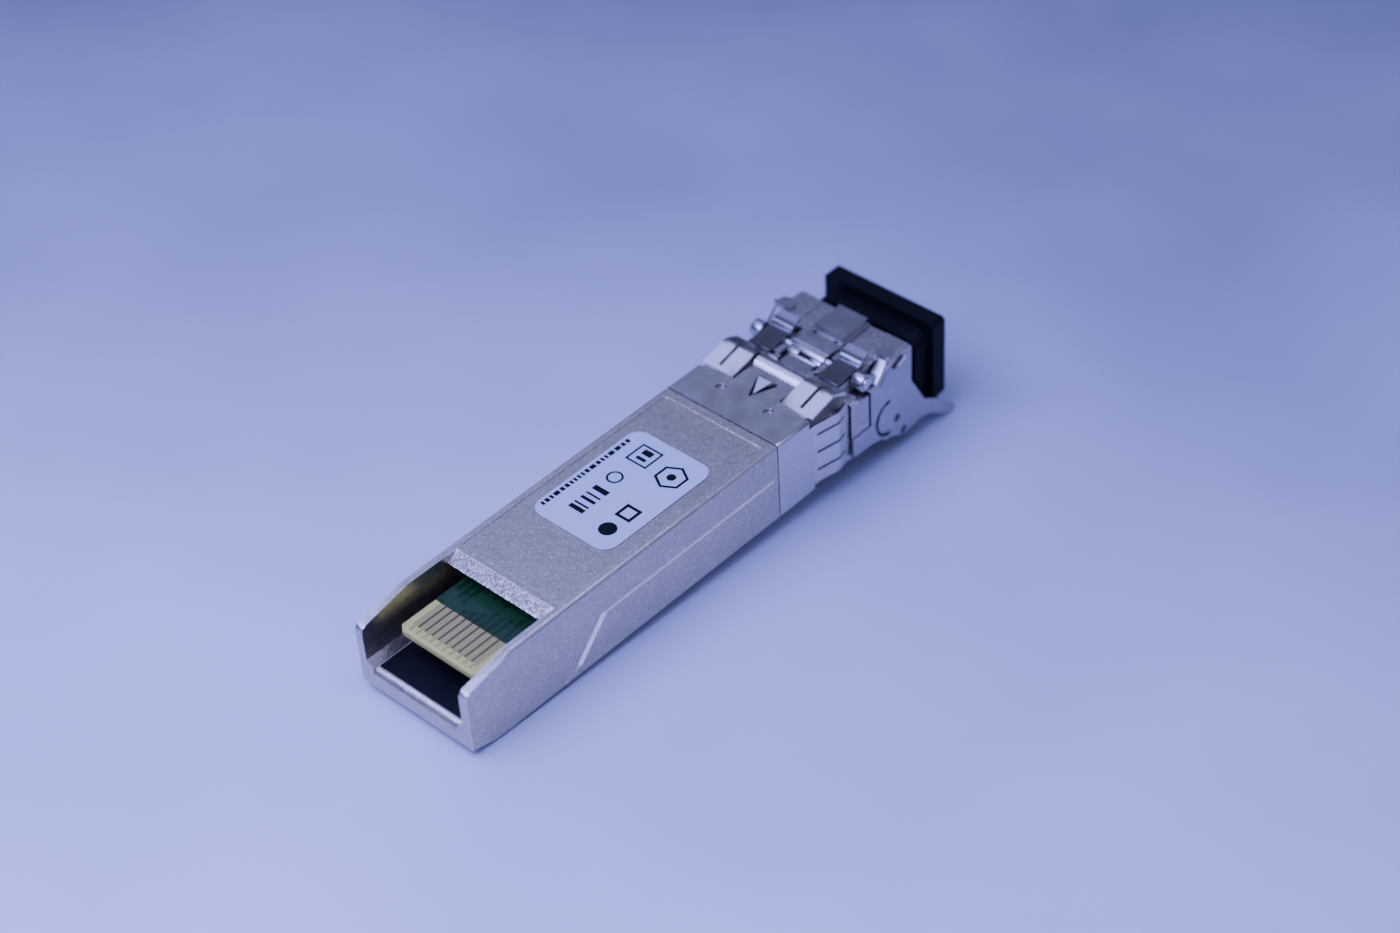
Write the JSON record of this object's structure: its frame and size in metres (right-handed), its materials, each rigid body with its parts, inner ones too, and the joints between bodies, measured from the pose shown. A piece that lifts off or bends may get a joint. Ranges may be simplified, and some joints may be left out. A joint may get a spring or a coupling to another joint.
{
  "type": "optical transceiver module",
  "caption": "Pluggable optical transceiver with a cast metal case, open card-edge tail, sprung shielding collar, duplex fibre port, bail latch and a pull-out dust plug.",
  "frame": {"origin": "on the middle plane of the heat-sink face, in the plane of the latch boss's shoulder, where the module is located in its cage", "axes": "+X along the module towards the optical port, +Y across it towards the transmitter side, +Z from the heat-sink face towards the host board and latch side"},
  "size_m": [0.0635, 0.0144, 0.0125],
  "materials": {
    "cast_zinc": "satin nickel plate on a zinc casting, fine granular",
    "nose_casting": "satin nickel plate on a zinc casting",
    "screw_steel": "dull steel",
    "label_film": "satin printed polyester film",
    "black_film": "matt",
    "laminate": "glass-epoxy laminate",
    "green_mask": "glossy solder mask",
    "gold_plate": "hard gold plate",
    "chip_resin": "moulded resin",
    "capacitor_body": "fired ceramic",
    "gap_pad": "soft silicone",
    "turned_steel": "turned and polished",
    "zirconia": "polished ceramic",
    "gold_can": "gold plate",
    "polyimide": "satin film",
    "retainer_plastic": "moulded",
    "spring_sheet": "bright rolled stainless spring sheet",
    "stamped_sheet": "bright nickel-plated stamped sheet",
    "polished_sheet": "polished stamped sheet",
    "black_plastic": "satin moulded"
  },
  "bodies": {
    "housing": {"lower_shell": "cast_zinc", "upper_shell": "cast_zinc", "case_screw": "screw_steel", "label": "label_film", "insulator_film": "black_film", "circuit_board": "laminate", "solder_mask": "green_mask", "contact_pads": "gold_plate", "controller_chip": "chip_resin", "laser_driver_chip": "chip_resin", "receiver_amp_chip": "chip_resin", "memory_chip": "chip_resin", "board_passives": "capacitor_body", "thermal_pad": "gap_pad", "tx_receptacle": "turned_steel", "rx_receptacle": "turned_steel", "tx_guide_tube": "turned_steel", "rx_guide_tube": "turned_steel", "ferrule_sleeves": "zirconia", "laser_can": "gold_can", "photodiode_can": "gold_can", "tx_flex": "polyimide", "rx_flex": "polyimide", "osa_retainer": "retainer_plastic", "port_nose": "nose_casting", "emi_collar": "spring_sheet", "latch_spring": "spring_sheet", "pin_clip_left": "polished_sheet", "pin_clip_right": "polished_sheet"},
    "lever": {"latch_lever": "stamped_sheet"},
    "bail": {"bail_frame": "stamped_sheet", "bail_pin": "turned_steel"},
    "plug": {"dust_plug": "black_plastic"}
  },
  "joints": [
    {"name": "bail_hinge", "type": "hinge", "parent": "housing", "child": "bail", "pos_m": [0.006, 0, 0.00795], "axis": [0, -1, 0], "range_deg": [0, 55]},
    {"name": "latch_rock", "type": "hinge", "parent": "housing", "child": "lever", "pos_m": [0.006, 0, 0.00795], "axis": [0, -1, 0], "range_deg": [0, 5.9], "deforming": ["latch_spring"]},
    {"name": "dust_plug_slide", "type": "slide", "parent": "housing", "child": "plug", "axis": [1, 0, 0], "range_m": [0, 0.05]}
  ],
  "couplings": [
    {"joint": "latch_rock", "follows": "bail_hinge", "ratio": 0.107}
  ]
}
